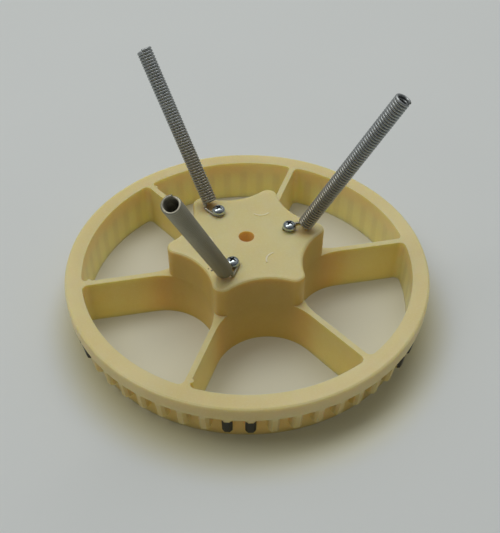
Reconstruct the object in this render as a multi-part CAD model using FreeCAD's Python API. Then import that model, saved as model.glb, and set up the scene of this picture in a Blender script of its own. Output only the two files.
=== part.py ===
import FreeCAD, Part
import math
import os

# A capsule wheel for a packaging line: a moulded plastic wheel with six pockets that carry
# the capsules round, teeth on the rim that the line turns it by, and three close-wound
# springs screwed to its star-shaped hub.
# Lengths are in millimetres and angles in degrees. The origin is on the shaft's axis, on the
# plane that the wheel stands on, and +Z points up along the shaft. Spoke 0 lies along +X.

# Rim
wheel_radius = 95.0
rim_depth = 26.5
rim_wall = 8.7
rim_edge = 1.2
band_depth = 7.6

# Teeth, below the plain band at the rim's top
tooth_count = 54
tooth_rise = 5.5
tooth_length = 11.9
tooth_root_width = 6.5
tooth_tip_width = 4.9
tooth_corner = 1.3
tooth_draft = 1.4
tooth_set_back = 0.3
tooth_root_depth = 0.8

# Pockets and the spokes between them
pocket_count = 6
pocket_radius = 27.3
pocket_corner_radius = 3.0
spoke_thickness = 2.9

# Half-round columns on the spokes' flanks near the rim: each one's spoke and the side it is
# on, +1 for the anticlockwise side seen from above
column_radius = 1.2
column_distance = 82.4
columns = ((2, -1), (3, -1), (4, 1))

# Hub, a six-pointed star that stands above the rim and is hollow from below
hub_rise = 17.7
hub_tip_radius = 40.7
hub_tip_corner_radius = 4.5
hub_side_radius = 30.0
hub_side_step = 0.9
hub_edge_radius = 1.7
hub_edge_flats = 3
tip_corner_share = 0.95
edge_share = 0.8
hub_wall = 3.0
hub_plate = 3.0
hub_tip_wall = 6.0

# Shaft bore and the boss round it
bore_radius = 4.05
bore_boss_radius = 8.0

# Bosses and ribs inside the hub, on the spokes' lines
boss_distance = 23.0
boss_radius = 5.7
boss_length = 22.0
rib_thickness = 2.4
rib_recess = 3.0

# Faint curved marks on the hub's top, over the bosses that hold no screw
mark_spokes = (1, 3, 5)
mark_width = 0.8
mark_height = 0.3
mark_start = 160.0
mark_sweep = 90.0

# Screws
head_radius = 3.5
head_height = 2.9
head_side = 0.7
head_flat = 0.45
screw_radius = 1.75
screw_length = 12.0
screw_clearance = 0.05
hole_end_clearance = 1.0
recess_length = 3.8
recess_floor_length = 1.2
recess_width = 0.9
recess_depth = 1.7

# Springs: wire, coil, the tail at the foot and the hook under the screw's head
wire_radius = 0.72
wire_sides = 10
coil_gap = 0.025
coil_radius = 3.95
coil_turns = 57.7
hook_radius = 3.0
hook_wrap = 100.0
tail_reach = 7.5
tail_flare = 0.9
spring_lift = 1.0
seat_gap = 0.02

# Each screw's distance from the shaft
right_screw_distance = 22.8
rear_screw_distance = 23.3
front_screw_distance = 22.3

# How far the rear and the front spring stand to the side of their screws
rear_side_shift = -1.4
front_side_shift = -0.5

# Each spring's name, its screw's distance and direction from the shaft, the way that it
# leans, how far it leans from upright, and how far it stands to the side of its screw
springs = (
    ("right_spring", right_screw_distance, 3.2, -9.5, 29.4, 0.0),
    ("rear_spring", rear_screw_distance, 117.5, 127.0, 30.5, rear_side_shift),
    ("front_spring", front_screw_distance, 240.8, 232.7, 30.4, front_side_shift),
)

# Worked out from the sizes above
spoke_angle = 360.0 / pocket_count
half_pocket_angle = math.radians(spoke_angle / 2)
half_spoke = spoke_thickness / 2
pocket_distance = (pocket_radius + half_spoke) / math.sin(half_pocket_angle)
hub_side_distance = pocket_distance - pocket_radius + hub_side_step + hub_side_radius
rim_inner_radius = wheel_radius - rim_wall
tooth_wall_radius = wheel_radius - tooth_rise
tooth_top = rim_depth - band_depth
hub_top = rim_depth + hub_rise
coil_middle_radius = coil_radius - wire_radius
coil_pitch = 2 * wire_radius + coil_gap
coil_length = coil_turns * coil_pitch + 2 * wire_radius
head_bottom = hub_top + 2 * seat_gap + 2 * wire_radius
over = 1.0

up = FreeCAD.Vector(0, 0, 1)
centre = FreeCAD.Vector(0, 0, 0)


def polar(radius, angle, height=0.0):
    turn = math.radians(angle)
    return FreeCAD.Vector(radius * math.cos(turn), radius * math.sin(turn), height)


def turned(shape, angle):
    copy = shape.copy()
    copy.rotate(centre, up, angle)
    return copy


def mirrored(point):
    return FreeCAD.Vector(point.x, -point.y, point.z)


def rim_disc():
    # Solid disc with the rim's outer profile: the plain band above with its top edge eased by
    # two flats and, set back below it, the wall that carries the teeth.
    ease = rim_edge * (1 - math.sqrt(0.5))
    profile = (
        (0, 0),
        (tooth_wall_radius, 0),
        (tooth_wall_radius, tooth_top),
        (wheel_radius, tooth_top),
        (wheel_radius, rim_depth - rim_edge),
        (wheel_radius - ease, rim_depth - ease),
        (wheel_radius - rim_edge, rim_depth),
        (0, rim_depth),
    )
    points = [FreeCAD.Vector(x, 0, z) for x, z in profile]
    return Part.Face(Part.makePolygon(points + points[:1])).revolve(centre, up, 360)


def tooth():
    # One tooth on +X: its tip's corners cut off, its foot in the wall, and leaning in
    # towards the bottom.
    root = tooth_wall_radius - tooth_root_depth
    tip = wheel_radius - tooth_set_back
    half_root = tooth_root_width / 2
    half_tip = tooth_tip_width / 2
    half_outline = (
        (root, half_root),
        (tooth_wall_radius, half_root),
        (tip - tooth_corner, half_tip),
        (tip, half_tip - tooth_corner),
    )
    points = [FreeCAD.Vector(x, y, tooth_top) for x, y in half_outline]
    points += [mirrored(point) for point in reversed(points)]
    outline = Part.Face(Part.makePolygon(points + points[:1]))
    return outline.extrude(FreeCAD.Vector(-tooth_draft, 0, -tooth_length))


def pocket():
    # The space of one pocket, centred on +X: a round end at the hub, straight along both
    # spokes, and rounded corners at the rim.
    turn = half_pocket_angle
    along = FreeCAD.Vector(math.cos(turn), math.sin(turn), 0)
    inward = FreeCAD.Vector(math.sin(turn), -math.cos(turn), 0)
    reach = rim_inner_radius - pocket_corner_radius
    offset = half_spoke + pocket_corner_radius
    corner_reach = math.sqrt(reach ** 2 - offset ** 2)
    round_end = along * (pocket_distance * math.cos(turn)) + inward * half_spoke
    corner_centre = along * corner_reach + inward * offset
    corner_start = along * corner_reach + inward * half_spoke
    corner_end = corner_centre * (rim_inner_radius / reach)
    bisector = (corner_start + corner_end - corner_centre * 2).normalize()
    corner_middle = corner_centre + bisector * pocket_corner_radius

    apex = FreeCAD.Vector(pocket_distance - pocket_radius, 0, 0)
    edges = [
        Part.Arc(mirrored(round_end), apex, round_end).toShape(),
        Part.LineSegment(round_end, corner_start).toShape(),
        Part.Arc(corner_start, corner_middle, corner_end).toShape(),
        Part.Arc(corner_end, FreeCAD.Vector(rim_inner_radius, 0, 0), mirrored(corner_end)).toShape(),
        Part.Arc(mirrored(corner_end), mirrored(corner_middle), mirrored(corner_start)).toShape(),
        Part.LineSegment(mirrored(corner_start), mirrored(round_end)).toShape(),
    ]
    space = Part.Face(Part.Wire(edges)).extrude(up * (rim_depth + 2 * over))
    space.translate(up * -over)
    return space


def toothed_rim():
    # Rim and spokes round a solid middle.
    teeth = [turned(tooth(), i * 360.0 / tooth_count) for i in range(tooth_count)]
    pockets = [turned(pocket(), (i + 0.5) * spoke_angle) for i in range(pocket_count)]
    rim = rim_disc().multiFuse(teeth).removeSplitter().cut(pockets)
    return rim.multiFuse([flank_column(spoke, side) for spoke, side in columns])


def flank_column(spoke, side):
    foot = FreeCAD.Vector(column_distance, side * half_spoke, 0)
    column = Part.makeCylinder(column_radius, rim_depth, foot, up)
    return turned(column, spoke * spoke_angle)


def pocket_cylinders(radius, height, bottom):
    # The pockets' round ends as full cylinders, at another radius.
    foot = FreeCAD.Vector(pocket_distance, 0, bottom)
    cylinder = Part.makeCylinder(radius, height, foot, up)
    return [turned(cylinder, (i + 0.5) * spoke_angle) for i in range(pocket_count)]


def tip_corner_radius():
    # The corners' radius on the star's points, kept to what the points' width has room for.
    across = hub_side_distance * math.cos(half_pocket_angle)
    gap = hub_tip_radius ** 2 + hub_side_distance ** 2 - hub_side_radius ** 2
    widest = (gap / 2 - hub_tip_radius * across) / (hub_tip_radius + hub_side_radius - across)
    return min(hub_tip_corner_radius, tip_corner_share * widest)


def star_outline(inset, height):
    # Points in line with the spokes, with rounded corners, and hollow sides over the
    # pockets. All of it is inset by the same distance.
    tip_corner = tip_corner_radius()
    side_radius = hub_side_radius + inset
    corner_radius = tip_corner - inset
    corner_reach = hub_tip_radius - tip_corner
    corner_offset = hub_side_radius + tip_corner
    reach_difference = corner_reach ** 2 - corner_offset ** 2
    x = (reach_difference + hub_side_distance ** 2) / (2 * hub_side_distance)
    corner = FreeCAD.Vector(x, math.sqrt(corner_reach ** 2 - x ** 2), 0)
    side_centre = FreeCAD.Vector(hub_side_distance, 0, 0)
    to_side = (side_centre - corner).normalize()
    to_tip = FreeCAD.Vector(corner).normalize()
    side_end = corner + to_side * corner_radius
    corner_middle = corner + (to_side + to_tip).normalize() * corner_radius
    tip_end = corner + to_tip * corner_radius
    apex = FreeCAD.Vector(hub_side_distance - side_radius, 0, 0)
    edges = []
    for i in range(pocket_count):
        turn = FreeCAD.Rotation(up, (i + 0.5) * spoke_angle)
        next_turn = FreeCAD.Rotation(up, (i + 1.5) * spoke_angle)
        tip = polar(hub_tip_radius - inset, (i + 1) * spoke_angle)
        points = [
            turn.multVec(mirrored(side_end)),
            turn.multVec(apex),
            turn.multVec(side_end),
            turn.multVec(corner_middle),
            turn.multVec(tip_end),
            tip,
            next_turn.multVec(mirrored(tip_end)),
            next_turn.multVec(mirrored(corner_middle)),
            next_turn.multVec(mirrored(side_end)),
        ]
        for first in (0, 2, 4, 6):
            edges.append(Part.Arc(points[first], points[first + 1], points[first + 2]).toShape())
    outline = Part.Wire(edges)
    outline.translate(up * height)
    return outline


def hub_star():
    # The part of the hub above the rim, its top edge rounded in a few flats.
    edge = min(hub_edge_radius, edge_share * tip_corner_radius())
    outlines = [star_outline(0, rim_depth)]
    for i in range(hub_edge_flats + 1):
        turn = math.pi / 2 * i / hub_edge_flats
        inset = edge * (1 - math.cos(turn))
        outlines.append(star_outline(inset, hub_top - edge * (1 - math.sin(turn))))
    return Part.makeLoft(outlines, True, True)


def hub_hollow():
    # The space under the hub, round its bosses and ribs.
    ceiling = hub_top - hub_plate
    foot = FreeCAD.Vector(0, 0, -over)
    hollow = Part.makeCylinder(hub_tip_radius - hub_tip_wall, ceiling + over, foot, up)
    walls = pocket_cylinders(pocket_radius + hub_wall, ceiling + 2 * over, -over)
    kept = [Part.makeCylinder(bore_boss_radius, ceiling + over, foot, up)]
    for i in range(pocket_count):
        place = polar(boss_distance, i * spoke_angle, ceiling - boss_length)
        kept.append(Part.makeCylinder(boss_radius, boss_length, place, up))
        corner = FreeCAD.Vector(0, -rib_thickness / 2, rib_recess)
        rib = Part.makeBox(hub_tip_radius, rib_thickness, ceiling - rib_recess, corner)
        kept.append(turned(rib, i * spoke_angle))
    return hollow.cut(Part.makeCompound(walls)).cut(kept)


def hub_mark(spoke):
    # A low curved ridge, as wide as a boss, on the side towards the shaft.
    place = FreeCAD.Vector(boss_distance, 0, hub_top - mark_height)
    outer = Part.makeCylinder(boss_radius, 2 * mark_height, place, up, mark_sweep)
    inner = Part.makeCylinder(boss_radius - mark_width, 2 * mark_height, place, up)
    ridge = outer.cut(inner)
    ridge.rotate(place, up, mark_start)
    return turned(ridge, spoke * spoke_angle)


def screw_place(distance, direction):
    return polar(distance, direction, head_bottom)


def screw_hole(distance, direction):
    depth = screw_length + hole_end_clearance
    bottom = screw_place(distance, direction) - up * depth
    return Part.makeCylinder(screw_radius + screw_clearance, depth + over, bottom, up)


def wheel():
    body = toothed_rim().fuse(hub_star()).removeSplitter()
    body = body.multiFuse([hub_mark(spoke) for spoke in mark_spokes])
    foot = FreeCAD.Vector(0, 0, -over)
    cuts = [hub_hollow(), Part.makeCylinder(bore_radius, hub_top + 2 * over, foot, up)]
    for name, distance, direction, heading, lean, sideways in springs:
        cuts.append(screw_hole(distance, direction))
    return body.cut(cuts)


def screw():
    # Round-headed screw with a cross recess, its head's underside on the XY plane. The head's
    # round is turned as two flats.
    dome = head_height - head_side
    profile = (
        (0, -screw_length),
        (screw_radius, -screw_length),
        (screw_radius, 0),
        (head_radius, 0),
        (head_radius, head_side),
        (head_radius * math.cos(math.pi / 6), head_side + dome * math.sin(math.pi / 6)),
        (head_radius * head_flat, head_height),
        (0, head_height),
    )
    points = [FreeCAD.Vector(x, 0, z) for x, z in profile]
    body = Part.Face(Part.makePolygon(points + points[:1])).revolve(centre, up, 360)
    return body.cut([turned(recess_slot(), angle) for angle in (45, 135)])


def recess_slot():
    # One slot of the cross, narrower at its floor.
    floor = head_height - recess_depth
    lift = head_height + over
    slope = (recess_length - recess_floor_length) / 2 / recess_depth
    half_top = recess_length / 2 + slope * over
    corners = [
        FreeCAD.Vector(-half_top, -recess_width / 2, lift),
        FreeCAD.Vector(half_top, -recess_width / 2, lift),
        FreeCAD.Vector(recess_floor_length / 2, -recess_width / 2, floor),
        FreeCAD.Vector(-recess_floor_length / 2, -recess_width / 2, floor),
    ]
    side = Part.Face(Part.makePolygon(corners + corners[:1]))
    return side.extrude(FreeCAD.Vector(0, recess_width, 0))


def wire_section(place, way, side):
    # The wire's section at a place, square to the way that it runs, as a polygon with its
    # first corner towards side.
    third = way.cross(side).normalize()
    points = []
    for i in range(wire_sides):
        turn = 2 * math.pi * i / wire_sides
        points.append(place + side * (wire_radius * math.cos(turn)) + third * (wire_radius * math.sin(turn)))
    return Part.Face(Part.makePolygon(points + points[:1]))


def wire_bar(start, end, side):
    way = end - start
    across = (side - way * (side.dot(way) / way.dot(way))).normalize()
    return wire_section(start, way, across).extrude(way)


def spring(lean, sideways):
    # A spring that leans towards +X, with the shaft of its screw on the Z axis and the
    # hub's top on the XY plane. The coils are one tube; the tail leaves their left side, comes
    # down to the hub and hooks round the screw.
    tilt = math.radians(lean)
    axis = FreeCAD.Vector(math.sin(tilt), 0, math.cos(tilt))
    left = FreeCAD.Vector(0, 1, 0)
    foot = FreeCAD.Vector(tail_reach, sideways, spring_lift + coil_radius * math.sin(tilt))
    tube = Part.makeCylinder(coil_radius, coil_length, foot, axis)
    hole = Part.makeCylinder(coil_radius - 2 * wire_radius, coil_length, foot, axis)

    height = seat_gap + wire_radius
    leave = foot + left * coil_middle_radius + axis * wire_radius
    bend = FreeCAD.Vector(tail_reach, sideways + coil_middle_radius + tail_flare, height)
    bend_distance = math.hypot(bend.x, bend.y)
    hook_start = math.atan2(bend.y, bend.x) + math.acos(hook_radius / bend_distance)
    hook_direction = polar(1, math.degrees(hook_start))
    hook_middle = FreeCAD.Vector(0, 0, height)
    meet = hook_middle + hook_direction * hook_radius
    hook_section = wire_section(meet, up.cross(hook_direction), hook_direction)
    pieces = [
        wire_bar(leave, bend - up * wire_radius / 2, left),
        wire_bar(bend + (bend - meet).normalize() * wire_radius, meet, hook_direction),
        hook_section.revolve(hook_middle, up, hook_wrap),
    ]
    return tube.cut(hole).multiFuse(pieces).removeSplitter()


def placed_spring(distance, direction, heading, lean, sideways):
    shape = turned(spring(lean, sideways), heading)
    shape.translate(polar(distance, direction, hub_top))
    return shape


def spring_screws():
    screws = []
    for name, distance, direction, heading, lean, sideways in springs:
        one = screw()
        one.translate(screw_place(distance, direction))
        screws.append(one)
    return Part.makeCompound(screws)


def main():
    os.makedirs("parts", exist_ok=True)
    nodes = {"wheel": wheel(), "spring_screws": spring_screws()}
    for name, *place in springs:
        nodes[name] = placed_spring(*place)
    for name, shape in nodes.items():
        volume = sum(solid.Volume for solid in shape.Solids)
        print(name, len(shape.Solids), "solids", round(volume, 1), "mm3, valid", shape.isValid())
        shape.exportStep("parts/" + name + ".step")


main()
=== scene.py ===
import bpy, bmesh, math
from mathutils import Matrix, Vector
from mathutils.geometry import interpolate_bezier


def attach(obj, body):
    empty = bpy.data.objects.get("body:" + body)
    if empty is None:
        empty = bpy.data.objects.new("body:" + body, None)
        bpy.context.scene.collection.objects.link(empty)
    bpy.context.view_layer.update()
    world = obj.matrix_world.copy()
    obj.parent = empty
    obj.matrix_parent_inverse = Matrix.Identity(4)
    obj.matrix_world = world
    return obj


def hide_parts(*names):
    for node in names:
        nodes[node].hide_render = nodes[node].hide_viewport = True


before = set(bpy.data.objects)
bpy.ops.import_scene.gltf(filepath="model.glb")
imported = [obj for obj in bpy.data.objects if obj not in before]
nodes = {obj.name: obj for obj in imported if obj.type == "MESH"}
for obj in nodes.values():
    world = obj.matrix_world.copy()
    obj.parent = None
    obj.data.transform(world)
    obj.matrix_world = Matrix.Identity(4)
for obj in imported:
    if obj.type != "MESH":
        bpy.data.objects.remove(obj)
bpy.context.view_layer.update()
mm = 0.001
white = (1, 1, 1, 1)
black = (0, 0, 0, 1)
rising = (0.0, 1.0)
falling = (1.0, 0.0)


def newMaterial(name):
    material = bpy.data.materials.new(name)
    material.use_nodes = True
    tree = material.node_tree
    return material, tree, tree.nodes["Principled BSDF"]


def setSocket(tree, socket, value):
    # another node's output is linked to the socket, and any other value is set on it
    if isinstance(value, bpy.types.NodeSocket):
        tree.links.new(value, socket)
    else:
        socket.default_value = value


def addNode(tree, kind, settings=None, numbered=None, **named):
    # settings are the node's own options; sockets go by number, or by name with _ for a space
    node = tree.nodes.new(kind)
    for key, value in (settings or {}).items():
        setattr(node, key, value)
    for number, value in (numbered or {}).items():
        setSocket(tree, node.inputs[number], value)
    for key, value in named.items():
        setSocket(tree, node.inputs[key.replace("_", " ")], value)
    return node


def calc(tree, operation, *values):
    settings = {"operation": operation}
    return addNode(tree, "ShaderNodeMath", settings, dict(enumerate(values))).outputs[0]


def lengthOf(tree, a, b):
    squares = calc(tree, "ADD", calc(tree, "MULTIPLY", a, a), calc(tree, "MULTIPLY", b, b))
    return calc(tree, "SQRT", squares)


def mixColour(tree, factor, a, b, blend="MIX"):
    settings = {"data_type": "RGBA", "blend_type": blend}
    return addNode(tree, "ShaderNodeMix", settings, {0: factor, 6: a, 7: b}).outputs[2]


def ramp(tree, value, between, to=rising):
    # a smooth step from the first value of to to its second, as value goes through between
    return addNode(tree, "ShaderNodeMapRange", {"interpolation_type": "SMOOTHSTEP"}, Value=value,
                   From_Min=between[0], From_Max=between[1], To_Min=to[0], To_Max=to[1]).outputs[0]


def noise(tree, place, texture):
    # texture holds the noise's scale, detail and roughness
    scale, detail, roughness = texture
    return addNode(tree, "ShaderNodeTexNoise", Vector=place, Scale=scale, Detail=detail,
                   Roughness=roughness).outputs["Fac"]


def objectPlace(tree):
    return tree.nodes.new("ShaderNodeTexCoord").outputs["Object"]


def partsOf(tree, vector):
    return addNode(tree, "ShaderNodeSeparateXYZ", Vector=vector).outputs


def levelWay(angle):
    return Vector((math.cos(angle), math.sin(angle), 0))


def meshFrom(bm, name):
    mesh = bpy.data.meshes.new(name)
    bm.to_mesh(mesh)
    bm.free()
    return mesh


def newObject(name, data):
    made = bpy.data.objects.new(name, data)
    bpy.context.scene.collection.objects.link(made)
    return made


# The wheel is cream moulded plastic, with marker strokes on some of its teeth. Its walls, its
# teeth's shadows, its raised marks and the hub round the springs' feet carry painted light and
# shade.

wheelLook = {
    "cream": (0.80, 0.69, 0.345, 1),
    "creamDeep": (0.77, 0.645, 0.29, 1),
    "creamPale": (0.84, 0.75, 0.42, 1),
    "clouds": (26.0, 4.0, 0.6),             # scale, detail and roughness of the noise
    "cloudEdge": (0.35, 0.7),
    "grain": (900.0, 3.0, 0.55),            # the fine unevenness of the moulding
    "grainEdge": (0.45, 0.8),
    "grainShare": 0.35,
    "grainBump": 0.12,
    "grainDepth": 0.1 * mm,
    "roughness": (0.47, 0.37),              # where the clouds are dark and where they are light
    "roughnessEdge": (0.2, 0.8),
    "ior": 1.49,
    "glow": 0.9,                            # share of light that goes into the plastic
    "glowDepth": 0.0065,
    "glowReach": (1.0, 0.82, 0.36),

    # painted light and shade on upright faces, and how much a face looks up or down where it fades
    # and is gone
    "hubShading": (0.935, 0.775, 0.47, 1),
    "spokeShading": (1.0, 1.02, 0.88, 1),
    "rimShading": (1.16, 1.225, 1.26, 1),
    "rimHighShading": (1.215, 1.165, 1.19, 1),
    "bandShading": (1.02, 1.0, 0.99, 1),       # of the rim's outside above the teeth
    "gapShading": (1.03, 0.985, 0.82, 1),      # between the teeth, where the plastic is thinner
    "crestShading": (0.97, 0.90, 0.82, 1),     # of the teeth's outer faces
    "shadingFade": (0.25, 0.9),

    # distances from the shaft, and then heights, over which one painted shading turns into the
    # next
    "hubToSpoke": (36 * mm, 64 * mm),
    "spokeToRim": (82 * mm, 86 * mm),
    "rimToOutside": (88.0 * mm, 89.5 * mm),
    "gapToCrest": (90.4 * mm, 91.6 * mm),
    "rimToHigh": (13 * mm, 24 * mm),
    "toothToBand": (16 * mm, 17 * mm),

    # painted shadows of the teeth, faint on the rim's inner wall as if seen through it
    "toothCount": 54,
    "toothShadowDepth": 0.07,
    "toothShadowEdge": (-0.4, 0.8),
    "wallFrom": (85.6 * mm, 86.0 * mm),
    "wallTo": (86.8 * mm, 87.2 * mm),
    "toothShadowTop": (17 * mm, 22 * mm),

    "markAngles": (13.33, 20.0),            # degrees, in each sixth of the rim
    "markAt": (94.5 * mm, 11.4 * mm),       # distance from the shaft and height
    "markHalfSize": (2.7 * mm, 4.8 * mm),
    "markCorner": 1.4 * mm,
    "markSoft": 0.25 * mm,
    "markInside": (90.6 * mm, 91.4 * mm),   # nothing further in is marked
    "markColour": (0.022, 0.022, 0.018, 1),
    "wobble": (420.0, 2.0, 0.5),            # noise that roughens the strokes' and specks' edges
    "wobbleWidth": 0.5 * mm,

    # painted highlight on the raised marks on the hub's top
    "ridgeHighlightColour": (0.92, 0.85, 0.58, 1),
    "ridgeHighlightShare": 0.8,
    "ridgeFrom": (44.3 * mm, 44.45 * mm),
    # painted orange-brown shade round the springs' feet
    "springShadows": ((29.5, -1.5), (-14.5, 26.2), (-15.2, -25.4)),     # under the springs, mm
    "springShadowColour": (0.62, 0.36, 0.12, 1),
    "springShadowShare": 0.55,
    "springShadowReach": (1.5 * mm, 7.5 * mm),
    "springShadowFrom": (42.0 * mm, 43.0 * mm),
    "specks": ((-22.84, -19.66, 0.42), (-21.45, -21.17, 0.55)),  # place and radius, mm
    "speckColour": (0.10, 0.065, 0.03, 1),
    "speckEdge": (0.6, 1.2),                # in radii
    "speckFrom": (43.5 * mm, 44.0 * mm),

    "boreGlow": (0.42, 0.24, 0.08, 1),
    "boreStrength": 0.15,
    "boreReach": (4.20 * mm, 4.40 * mm),    # distances from the shaft
}


# painted light and shade on upright faces: darker on the hub's walls, lighter on the rim's,
# standing in for light through the plastic
def paintedWallShading(tree, look, radius, height):
    inward = mixColour(tree, ramp(tree, radius, look["hubToSpoke"]), look["hubShading"],
                       look["spokeShading"])
    rim = mixColour(tree, ramp(tree, height, look["rimToHigh"]), look["rimShading"],
                    look["rimHighShading"])
    inward = mixColour(tree, ramp(tree, radius, look["spokeToRim"]), inward, rim)
    tooth = mixColour(tree, ramp(tree, radius, look["gapToCrest"]), look["gapShading"],
                      look["crestShading"])
    outside = mixColour(tree, ramp(tree, height, look["toothToBand"]), tooth, look["bandShading"])
    return mixColour(tree, ramp(tree, radius, look["rimToOutside"]), inward, outside)


# painted shadows of the teeth on the rim's inner wall, one dark band per tooth
def paintedToothShadows(tree, look, radius, height, angle):
    wave = calc(tree, "COSINE", calc(tree, "MULTIPLY", angle, look["toothCount"]))
    toothShadow = ramp(tree, wave, look["toothShadowEdge"], (0.0, look["toothShadowDepth"]))
    wall = calc(tree, "MULTIPLY", ramp(tree, radius, look["wallFrom"]),
                ramp(tree, radius, look["wallTo"], falling))
    wall = calc(tree, "MULTIPLY", wall, ramp(tree, height, look["toothShadowTop"], falling))
    return calc(tree, "MULTIPLY", toothShadow, wall)


def markerStrokes(tree, look, radius, height, angle, rough):
    # strokes with rounded ends on the teeth's outer faces, the same in each sixth of the rim
    inSixth = calc(tree, "WRAP", angle, math.pi / 3, 0.0)
    halfWide, halfHigh = look["markHalfSize"]
    corner = look["markCorner"]
    out, middle = look["markAt"]
    awayUp = calc(tree, "ABSOLUTE", calc(tree, "SUBTRACT", height, middle))
    pastUp = calc(tree, "MAXIMUM", calc(tree, "SUBTRACT", awayUp, halfHigh - corner), 0.0)
    strokes = 0.0
    for degrees in look["markAngles"]:
        turn = calc(tree, "ABSOLUTE", calc(tree, "SUBTRACT", inSixth, math.radians(degrees)))
        across = calc(tree, "MULTIPLY", turn, out)
        pastSide = calc(tree, "MAXIMUM", calc(tree, "SUBTRACT", across, halfWide - corner), 0.0)
        away = calc(tree, "ADD", lengthOf(tree, pastSide, pastUp), rough)
        stroke = ramp(tree, away, (corner - look["markSoft"], corner), falling)
        strokes = calc(tree, "MAXIMUM", strokes, stroke)
    return calc(tree, "MULTIPLY", strokes, ramp(tree, radius, look["markInside"]))


def wheelPlastic(look):
    material, tree, shader = newMaterial("creamMouldedPlastic")
    coords = tree.nodes.new("ShaderNodeTexCoord")
    place = coords.outputs["Object"]
    x, y, z = partsOf(tree, place)
    radius = lengthOf(tree, x, y)
    angle = calc(tree, "ARCTAN2", y, x)
    clouds = noise(tree, place, look["clouds"])
    grain = noise(tree, place, look["grain"])
    colour = mixColour(tree, ramp(tree, clouds, look["cloudEdge"]), look["creamDeep"],
                       look["cream"])
    pale = ramp(tree, grain, look["grainEdge"], (0.0, look["grainShare"]))
    colour = mixColour(tree, pale, colour, look["creamPale"])

    # upright faces get painted light and shade, and those that look up or down get none
    upness = calc(tree, "ABSOLUTE", partsOf(tree, coords.outputs["Normal"])[2])
    shadingTint = mixColour(tree, ramp(tree, upness, look["shadingFade"]),
                     paintedWallShading(tree, look, radius, z), white)
    colour = mixColour(tree, 1.0, colour, shadingTint, "MULTIPLY")
    colour = mixColour(tree, paintedToothShadows(tree, look, radius, z, angle), colour, black)

    wobble = calc(tree, "SUBTRACT", noise(tree, place, look["wobble"]), 0.5)
    rough = calc(tree, "MULTIPLY", wobble, look["wobbleWidth"])
    marked = markerStrokes(tree, look, radius, z, angle, rough)
    colour = mixColour(tree, marked, colour, look["markColour"])

    # painted highlight on the raised marks on the hub's top, and painted orange-brown shade round
    # the springs' feet
    ridgeHighlight = calc(tree, "MULTIPLY", ramp(tree, z, look["ridgeFrom"]), look["ridgeHighlightShare"])
    colour = mixColour(tree, ridgeHighlight, colour, look["ridgeHighlightColour"])
    nearTop = ramp(tree, z, look["springShadowFrom"])
    # painted orange-brown shade round each spring's foot on the hub's top
    for atX, atY in look["springShadows"]:
        away = lengthOf(tree, calc(tree, "SUBTRACT", x, atX * mm),
                        calc(tree, "SUBTRACT", y, atY * mm))
        footShadow = ramp(tree, away, look["springShadowReach"], (look["springShadowShare"], 0.0))
        footShadowOnTop = calc(tree, "MULTIPLY", footShadow, nearTop)
        colour = mixColour(tree, footShadowOnTop, colour, look["springShadowColour"])

    # two specks of dirt on the hub's top
    onTop = ramp(tree, z, look["speckFrom"])
    for atX, atY, size in look["specks"]:
        away = lengthOf(tree, calc(tree, "SUBTRACT", x, atX * mm),
                        calc(tree, "SUBTRACT", y, atY * mm))
        edge = [size * mm * share for share in look["speckEdge"]]
        speck = ramp(tree, calc(tree, "ADD", away, rough), edge, falling)
        specked = calc(tree, "MULTIPLY", speck, onTop)
        colour = mixColour(tree, specked, colour, look["speckColour"])
    tree.links.new(colour, shader.inputs["Base Color"])

    # light that comes through the hub makes the bore glow
    inBore = ramp(tree, radius, look["boreReach"], falling)
    boreLight = calc(tree, "MULTIPLY", inBore, look["boreStrength"])
    tree.links.new(boreLight, shader.inputs["Emission Strength"])
    shader.inputs["Emission Color"].default_value = look["boreGlow"]

    roughness = ramp(tree, clouds, look["roughnessEdge"], look["roughness"])
    tree.links.new(roughness, shader.inputs["Roughness"])
    shader.inputs["Subsurface Weight"].default_value = look["glow"]
    shader.inputs["Subsurface Radius"].default_value = look["glowReach"]
    shader.inputs["Subsurface Scale"].default_value = look["glowDepth"]
    shader.inputs["IOR"].default_value = look["ior"]
    bump = addNode(tree, "ShaderNodeBump", Height=grain, Strength=look["grainBump"],
                   Distance=look["grainDepth"])
    tree.links.new(bump.outputs[0], shader.inputs["Normal"])
    return material


wheel = nodes["wheel"]
wheel.data.materials.clear()
wheel.data.materials.append(wheelPlastic(wheelLook))
print("wheel dressed")


# The screws are bright zinc, with smooth domed heads and a cross recess darkened with painted
# shade.

screwSizes = {
    "headRadius": 3.5 * mm,
    "headEdge": 0.12 * mm,       # bevel round the head's underside
    "headSide": 0.6 * mm,
    "headHeight": 2.9 * mm,
    "shankRadius": 1.75 * mm,
    "shankLength": 12.0 * mm,
    "segments": 48,
    "domeSteps": 14,
    "fullness": 0.8,             # under 1 makes the dome fuller than a round one
    "recessTop": 4.3 * mm,       # length of the cross at the head's top and at its floor
    "recessFloor": 1.2 * mm,
    "recessWidth": 1.05 * mm,
    "recessDepth": 1.7 * mm,
    "recessTurns": (45, 135),    # degrees
    "cutterAbove": 0.6 * mm,     # how far the cutter stands out of the head
    "seat": 45.68 * mm,          # height of the head's underside
    "weld": 0.002 * mm,
    "sharpFrom": 32,             # degrees between faces
}

screwLook = {
    "zinc": (0.52, 0.57, 0.57, 1),
    "dull": (0.42, 0.47, 0.47, 1),
    "patches": (300.0, 2.0, 0.5),
    "patchEdge": (0.4, 0.7),
    "roughness": (0.17, 0.28),
    "roughnessEdge": (0.3, 0.75),
    "recessShadeColour": (0.03, 0.035, 0.035, 1),
    "recessShadeReach": 1.2 * mm,
    "recessShadeEdge": (0.45, 0.9),
    "recessShadeSamples": 8,
}


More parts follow.
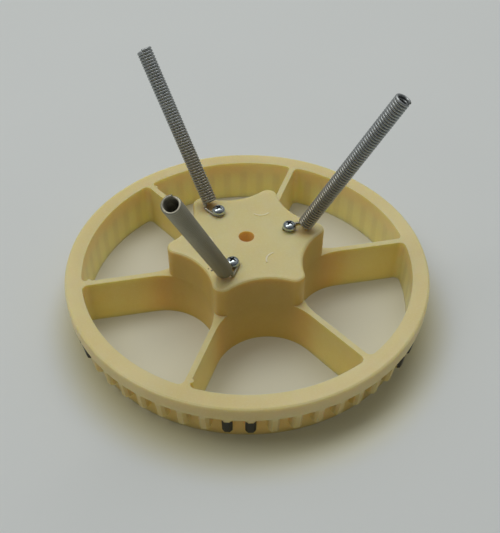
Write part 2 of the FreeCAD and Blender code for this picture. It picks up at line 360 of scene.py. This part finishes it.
def screwZinc(look):
    material, tree, shader = newMaterial("brightZinc")
    patches = noise(tree, objectPlace(tree), look["patches"])
    colour = mixColour(tree, ramp(tree, patches, look["patchEdge"]), look["zinc"], look["dull"])
    # painted shade in the cross recess, where the ambient occlusion finds the surface closed in
    openness = addNode(tree, "ShaderNodeAmbientOcclusion", {"samples": look["recessShadeSamples"]},
                       Distance=look["recessShadeReach"]).outputs["AO"]
    colour = mixColour(tree, ramp(tree, openness, look["recessShadeEdge"]), look["recessShadeColour"],
                       colour)
    tree.links.new(colour, shader.inputs["Base Color"])
    roughness = ramp(tree, patches, look["roughnessEdge"], look["roughness"])
    tree.links.new(roughness, shader.inputs["Roughness"])
    shader.inputs["Metallic"].default_value = 1.0
    return material


def crossCutter(sizes):
    # two crossing wedges that are narrower at the bottom
    bm = bmesh.new()
    above = sizes["cutterAbove"]
    slope = (sizes["recessTop"] - sizes["recessFloor"]) / 2 / sizes["recessDepth"]
    topHalf = sizes["recessTop"] / 2 + slope * above
    floorHalf = sizes["recessFloor"] / 2
    for degrees in sizes["recessTurns"]:
        verts = bmesh.ops.create_cube(bm, size=1.0)["verts"]
        for vert in verts:
            upper = vert.co.z > 0
            half = topHalf if upper else floorHalf
            height = sizes["headHeight"] + (above if upper else -sizes["recessDepth"])
            vert.co = Vector((half if vert.co.x > 0 else -half,
                              sizes["recessWidth"] * vert.co.y, height))
        turn = Matrix.Rotation(math.radians(degrees), 3, "Z")
        bmesh.ops.rotate(bm, cent=(0, 0, 0), matrix=turn, verts=verts)
    return newObject("crossCutter", meshFrom(bm, "crossCutter"))


def screwMesh(sizes):
    # the profile is turned about the Z axis, with the head's underside at height 0
    headRadius, edge, side = sizes["headRadius"], sizes["headEdge"], sizes["headSide"]
    profile = [(0, -sizes["shankLength"]), (sizes["shankRadius"], -sizes["shankLength"]),
               (sizes["shankRadius"], 0), (headRadius - edge, 0), (headRadius, edge)]
    for i in range(sizes["domeSteps"] + 1):
        turn = math.pi / 2 * i / sizes["domeSteps"]
        radius = headRadius * max(math.cos(turn), 0.0) ** sizes["fullness"]
        profile.append((radius, side + (sizes["headHeight"] - side) * math.sin(turn)))
    bm = bmesh.new()
    verts = [bm.verts.new((x, 0, z)) for x, z in profile]
    edges = [bm.edges.new(pair) for pair in zip(verts, verts[1:])]
    bmesh.ops.spin(bm, geom=verts + edges, cent=(0, 0, 0), axis=(0, 0, 1), angle=math.tau,
                   steps=sizes["segments"], use_merge=True)
    bmesh.ops.remove_doubles(bm, verts=bm.verts, dist=sizes["weld"])
    bmesh.ops.recalc_face_normals(bm, faces=bm.faces)
    return meshFrom(bm, "screw")


def makeScrews(places, sizes, material):
    one = newObject("oneScrew", screwMesh(sizes))
    cutter = crossCutter(sizes)
    cut = one.modifiers.new("cross", "BOOLEAN")
    cut.object = cutter
    cut.solver = "EXACT"
    cut.use_self = True
    bpy.context.view_layer.update()
    shaped = one.evaluated_get(bpy.context.evaluated_depsgraph_get())
    cutMesh = bpy.data.meshes.new_from_object(shaped)
    bm = bmesh.new()
    for distance, direction in places:
        at = levelWay(math.radians(direction)) * distance
        before = len(bm.verts)
        bm.from_mesh(cutMesh)
        bm.verts.ensure_lookup_table()
        bmesh.ops.translate(bm, vec=at + Vector((0, 0, sizes["seat"])), verts=bm.verts[before:])
    for face in bm.faces:
        face.smooth = True
    for edge in bm.edges:
        edge.smooth = edge.calc_face_angle(0) < math.radians(sizes["sharpFrom"])
    for spare in (one, cutter):
        bpy.data.objects.remove(spare)
    piece = newObject("domedScrews", meshFrom(bm, "domedScrews"))
    piece.data.materials.append(material)
    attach(piece, "root")
    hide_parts("spring_screws")
    print(piece.name, len(piece.data.polygons), "faces")


# Each spring is close-wound wire with a tail that hooks round its screw.

springSizes = {
    "wireRadius": 0.72 * mm,
    "pitch": 1.465 * mm,
    "stepsPerTurn": 48,
    "wireSides": 16,
    "reach": 7.5 * mm,           # coil's foot from its screw
    "flare": 0.9 * mm,           # how far the tail bends out from the coil
    "hookRadius": 3.0 * mm,
    "hookWrap": 100.0,           # degrees
    "hookSteps": 12,
    "seatGap": 0.02 * mm,
    "hubTop": 44.2 * mm,
    "bendRadius": 1.1 * mm,
    "dropSteps": 12,
    "settle": 0.9,               # where the drop ends past the bend, in bend radii
    "leavePull": 1.5,            # reach of the drop's two handles, in bend radii
    "settlePull": 2.4,
    "capInset": 0.25,            # rounding of the wire's ends, in wire radii
    "capRise": 0.12,
    "weld": 0.01 * mm,
}

# "screw" is the distance and direction of the spring's screw from the shaft, "heading" the way
# it leans and "lean" how far from upright, "sideways" how far it stands to the side of its
# screw, and "lift" how far its lowest coil is above the hub's top
springPlaces = {
    "right_spring": {"screw": (22.8 * mm, 3.2), "heading": -9.2, "lean": 28.9,
                     "sideways": 0.0, "lift": 0.3 * mm, "radius": 4.02 * mm, "turns": 57.31},
    "rear_spring": {"screw": (23.3 * mm, 117.5), "heading": 126.0, "lean": 30.4,
                    "sideways": -1.4 * mm, "lift": 0.1 * mm, "radius": 3.95 * mm, "turns": 57.9},
    "front_spring": {"screw": (22.3 * mm, 240.8), "heading": 233.2, "lean": 30.4,
                     "sideways": -0.5 * mm, "lift": 0.6 * mm, "radius": 4.24 * mm, "turns": 57.7},
}

springLook = {
    "steel": (0.37, 0.39, 0.38, 1),
    "worn": (0.43, 0.45, 0.435, 1),
    "patches": (60.0, 3.0, 0.5),
    "patchEdge": (0.4, 0.72),
    "hubReflection": (0.33, 0.305, 0.235, 1),      # painted reflection of the cream hub, darker and browner near it
    "nearHubTo": (55 * mm, 100 * mm),
    "roughness": (0.27, 0.40),             # near the hub and higher up
    "patchRoughness": (-0.02, 0.03),
    "patchRoughnessEdge": (0.3, 0.7),
    "metallic": 0.75,                      # the rest is the dull film on drawn wire
}

# the front spring is browner all over, a painted reflection of the hub beneath it
frontSpringLook = dict(springLook, steel=(0.33, 0.315, 0.235, 1), worn=(0.37, 0.35, 0.265, 1),
                       hubReflection=(0.27, 0.25, 0.175, 1), roughness=(0.38, 0.40))


def springSteel(look):
    material, tree, shader = newMaterial("drawnSpringSteel")
    place = objectPlace(tree)
    height = partsOf(tree, place)[2]
    patches = noise(tree, place, look["patches"])
    colour = mixColour(tree, ramp(tree, patches, look["patchEdge"]), look["steel"], look["worn"])
    # painted reflection of the cream hub: the wire is browner and darker lower down
    colour = mixColour(tree, ramp(tree, height, look["nearHubTo"]), look["hubReflection"], colour)
    tree.links.new(colour, shader.inputs["Base Color"])
    rough = ramp(tree, height, look["nearHubTo"], look["roughness"])
    uneven = ramp(tree, patches, look["patchRoughnessEdge"], look["patchRoughness"])
    tree.links.new(calc(tree, "ADD", rough, uneven), shader.inputs["Roughness"])
    shader.inputs["Metallic"].default_value = look["metallic"]
    return material


def onlyOf(items, kind):
    return [item for item in items if isinstance(item, kind)]


def moveRing(bm, ring, start, end, startWay, endWay):
    # carries the wire's end ring on to the next point of its path and returns the new ring
    made = bmesh.ops.extrude_edge_only(bm, edges=ring)["geom"]
    verts = onlyOf(made, bmesh.types.BMVert)
    turn = startWay.rotation_difference(endWay).to_matrix()
    bmesh.ops.rotate(bm, cent=start, matrix=turn, verts=verts)
    bmesh.ops.translate(bm, vec=end - start, verts=verts)
    moved = set(verts)
    return [edge for edge in onlyOf(made, bmesh.types.BMEdge) if moved.issuperset(edge.verts)]


def screwRing(bm, ring, foot, axis, sizes, steps):
    # turns the ring clockwise up the axis and returns the edges of the ring where it stops
    perTurn = sizes["stepsPerTurn"]
    verts = list(dict.fromkeys(vert for edge in ring for vert in edge.verts))
    made = bmesh.ops.spin(bm, geom=verts + ring, cent=foot, axis=axis, steps=steps,
                          dvec=axis * sizes["pitch"] / perTurn,
                          angle=-math.tau * steps / perTurn, use_merge=False)["geom_last"]
    return onlyOf(made, bmesh.types.BMEdge)


def windCoil(bm, ring, foot, axis, turns, sizes):
    # one turn is made from the wire's end ring and repeated, and the top ends part of a turn
    # further on; returns the ring at the top
    perTurn = sizes["stepsPerTurn"]
    fullTurns = int(turns)
    topRing = screwRing(bm, ring, foot, axis, sizes, perTurn)
    oneTurn = list(bm.verts) + list(bm.edges) + list(bm.faces)
    for i in range(1, fullTurns):
        copied = bmesh.ops.duplicate(bm, geom=oneTurn)
        bmesh.ops.translate(bm, vec=axis * sizes["pitch"] * i,
                            verts=onlyOf(copied["geom"], bmesh.types.BMVert))
    topRing = [copied["edge_map"][edge] for edge in topRing]
    topRing = screwRing(bm, topRing, foot, axis, sizes, round((turns - fullTurns) * perTurn))
    bmesh.ops.remove_doubles(bm, verts=bm.verts, dist=sizes["weld"])
    return topRing


def tailPath(leave, coilWay, bend, screwAt, sizes):
    # the wire's centre line from the coil down to the hub's top and round the screw
    fromScrew = bend - screwAt
    start = (math.atan2(fromScrew.y, fromScrew.x)
             + math.acos(sizes["hookRadius"] / math.hypot(fromScrew.x, fromScrew.y)))
    centre = Vector((screwAt.x, screwAt.y, bend.z))
    hook = []
    for i in range(sizes["hookSteps"] + 1):
        angle = start + math.radians(sizes["hookWrap"]) * i / sizes["hookSteps"]
        hook.append(centre + levelWay(angle) * sizes["hookRadius"])
    along = (hook[0] - bend).normalized()
    bendRadius = sizes["bendRadius"]
    settle = bend + along * bendRadius * sizes["settle"]
    drop = interpolate_bezier(leave, leave + coilWay * bendRadius * sizes["leavePull"],
                              settle - along * bendRadius * sizes["settlePull"], settle,
                              sizes["dropSteps"])
    return [Vector(point) for point in drop] + hook


def runTail(bm, ring, path, way):
    # carries the ring along the path and returns the ring at its end
    for i in range(1, len(path)):
        nextWay = (path[min(i + 1, len(path) - 1)] - path[i - 1]).normalized()
        ring = moveRing(bm, ring, path[i - 1], path[i], way, nextWay)
        way = nextWay
    return ring


def makeSpring(name, place, sizes, material):
    distance, direction = place["screw"]
    sideways, coilRadius, tilt = place["sideways"], place["radius"], math.radians(place["lean"])
    screwAt = levelWay(math.radians(direction)) * distance
    screwAt.z = sizes["hubTop"]
    ahead = levelWay(math.radians(place["heading"]))
    left = Vector((-ahead.y, ahead.x, 0))
    axis = ahead * math.sin(tilt) + Vector((0, 0, math.cos(tilt)))
    lowSide = ahead * math.cos(tilt) - Vector((0, 0, math.sin(tilt)))
    foot = screwAt + ahead * sizes["reach"] + left * sideways
    foot.z += place["lift"] + coilRadius * math.sin(tilt)
    middle = coilRadius - sizes["wireRadius"]
    leave = foot + left * middle + axis * sizes["wireRadius"]

    bm = bmesh.new()
    ringPlace = Matrix((left, axis, left.cross(axis))).transposed().to_4x4()
    ringPlace.translation = leave
    bmesh.ops.create_circle(bm, radius=sizes["wireRadius"], segments=sizes["wireSides"],
                            matrix=ringPlace)
    ring = list(bm.edges)
    topRing = windCoil(bm, ring, foot, axis, place["turns"], sizes)

    # the tail and the hook carry the same ring on from the coil's foot
    bend = screwAt + ahead * sizes["reach"] + left * (sideways + middle + sizes["flare"])
    bend.z = sizes["hubTop"] + sizes["seatGap"] + sizes["wireRadius"]
    path = tailPath(leave, -lowSide, bend, screwAt, sizes)
    endRing = runTail(bm, ring, path, -lowSide)

    for end in (topRing, endRing):
        cap = bmesh.ops.contextual_create(bm, geom=end)["faces"]
        bmesh.ops.inset_region(bm, faces=cap, thickness=sizes["wireRadius"] * sizes["capInset"],
                               depth=sizes["wireRadius"] * sizes["capRise"])
    bmesh.ops.recalc_face_normals(bm, faces=bm.faces)
    for face in bm.faces:
        face.smooth = True
    piece = newObject(name + "Wire", meshFrom(bm, name + "Wire"))
    piece.data.materials.append(material)
    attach(piece, "root")
    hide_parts(name)
    print(piece.name, len(piece.data.polygons), "faces")


makeScrews([place["screw"] for place in springPlaces.values()], screwSizes, screwZinc(screwLook))
steel = springSteel(springLook)
for springName, springPlace in springPlaces.items():
    wire = springSteel(frontSpringLook) if springName == "front_spring" else steel
    makeSpring(springName, springPlace, springSizes, wire)


# The stage: a pale floor, soft light from above and the photograph's camera.

stageLook = {
    "floorSize": 6.0,
    "floorCells": 4,
    "floorColour": (0.763, 0.79, 0.753, 1),
    "floorPatches": (7.0, 2.0, 0.5),
    "patchShade": 0.97,
    "floorRoughness": 0.9,
    "insideLightTint": (0.825, 0.78, 0.65, 1),  # painted warm shade on the floor inside the wheel, with light through the plastic
    "insideGlow": (1.0, 0.94, 0.73, 1),    # light through the plastic, on the floor inside it
    "insideStrength": 0.062,
    "insideTo": (84 * mm, 94 * mm),        # distances from the shaft
    "nearShadowTint": (0.95, 0.88, 0.62, 1),     # painted warm shadow close to the rim, most of all in front
    "nearFrom": (90 * mm, 95 * mm),
    "nearMiddle": -9 * mm,
    "nearTo": (88 * mm, 112 * mm),         # distances from a point nearer the camera
    "worldColour": (0.93, 0.95, 1.0, 1),
    "worldStrength": 0.46,
    "worldFront": 0.25,        # how bright the side towards the camera is beside the far side
    "worldSides": (-0.9, 0.5),
    "worldLow": 0.35,          # how bright the horizon is beside the sky
    "worldHeights": (0.0, 0.75),
    "lampPower": 20.5,
    "lampSize": (3.2, 0.8),
    "lampAt": (-0.2, 0.55, 1.9),
}


def floorPaper(look):
    material, tree, shader = newMaterial("palePaper")
    place = objectPlace(tree)
    darker = tuple(c * look["patchShade"] for c in look["floorColour"][:3]) + (1,)
    colour = mixColour(tree, noise(tree, place, look["floorPatches"]), look["floorColour"], darker)
    x, y = partsOf(tree, place)[:2]
    away = lengthOf(tree, x, y)
    # painted warm light and shade on the floor inside the wheel, and painted warm shadow close to
    # the rim outside it
    shadingTint = mixColour(tree, ramp(tree, away, look["insideTo"]), look["insideLightTint"],
                     look["nearShadowTint"])
    fromNear = lengthOf(tree, x, calc(tree, "SUBTRACT", y, look["nearMiddle"]))
    outside = calc(tree, "MULTIPLY", ramp(tree, fromNear, look["nearTo"]),
                   ramp(tree, away, look["nearFrom"]))
    shadingTint = mixColour(tree, outside, shadingTint, white)
    tree.links.new(mixColour(tree, 1.0, colour, shadingTint, "MULTIPLY"), shader.inputs["Base Color"])
    inside = ramp(tree, away, look["insideTo"], (look["insideStrength"], 0.0))
    tree.links.new(inside, shader.inputs["Emission Strength"])
    shader.inputs["Emission Color"].default_value = look["insideGlow"]
    shader.inputs["Roughness"].default_value = look["floorRoughness"]
    return material


def makeFloor(look):
    bm = bmesh.new()
    bmesh.ops.create_grid(bm, x_segments=look["floorCells"], y_segments=look["floorCells"],
                          size=look["floorSize"] / 2)
    floor = newObject("floor", meshFrom(bm, "floor"))
    floor.data.materials.append(floorPaper(look))


def makeLight(look):
    world = bpy.data.worlds.new("softRoom")
    world.use_nodes = True
    tree = world.node_tree
    background = tree.nodes["Background"]
    background.inputs["Color"].default_value = look["worldColour"]
    direction = tree.nodes.new("ShaderNodeTexCoord").outputs["Generated"]
    y, z = partsOf(tree, direction)[1:]
    full = look["worldStrength"]
    side = ramp(tree, y, look["worldSides"], (full * look["worldFront"], full))
    upper = ramp(tree, z, look["worldHeights"], (look["worldLow"], 1.0))
    tree.links.new(calc(tree, "MULTIPLY", side, upper), background.inputs["Strength"])
    bpy.context.scene.world = world
    lamp = bpy.data.lights.new("softbox", "AREA")
    lamp.shape = "RECTANGLE"
    lamp.size, lamp.size_y = look["lampSize"]
    lamp.energy = look["lampPower"]
    softbox = newObject("softbox", lamp)
    softbox.location = look["lampAt"]
    softbox.rotation_euler = (-Vector(look["lampAt"])).to_track_quat("-Z", "Y").to_euler()


photoCamera = {
    "at": (-0.05885, -0.29453, 0.31422),
    "looks": (0.12324, 0.70959, -0.69375),
    "right": (0.98326, -0.18183, -0.01131),
    "focalPixels": 790.1,
    "middlePixel": (231.56, 263.25),       # where the lens's axis meets the picture
    "image": (500, 533),
    "sensorHeight": 36.0,
}


def makeCamera(view):
    data = bpy.data.cameras.new("photoCamera")
    width, height = view["image"]
    middleX, middleY = view["middlePixel"]
    data.sensor_fit = "VERTICAL"
    data.sensor_height = view["sensorHeight"]
    data.lens = view["sensorHeight"] * view["focalPixels"] / height
    data.shift_x = ((width - 1) / 2 - middleX) / height
    data.shift_y = (middleY - (height - 1) / 2) / height
    back = -Vector(view["looks"]).normalized()
    right = (Vector(view["right"]) - back * back.dot(Vector(view["right"]))).normalized()
    place = Matrix((right, back.cross(right), back)).transposed().to_4x4()
    place.translation = view["at"]
    camera = newObject("photoCamera", data)
    camera.matrix_world = place
    bpy.context.scene.camera = camera


makeFloor(stageLook)
makeLight(stageLook)
makeCamera(photoCamera)
bpy.context.scene.view_settings.view_transform = "Standard"
print("stage set")

bpy.context.view_layer.update()
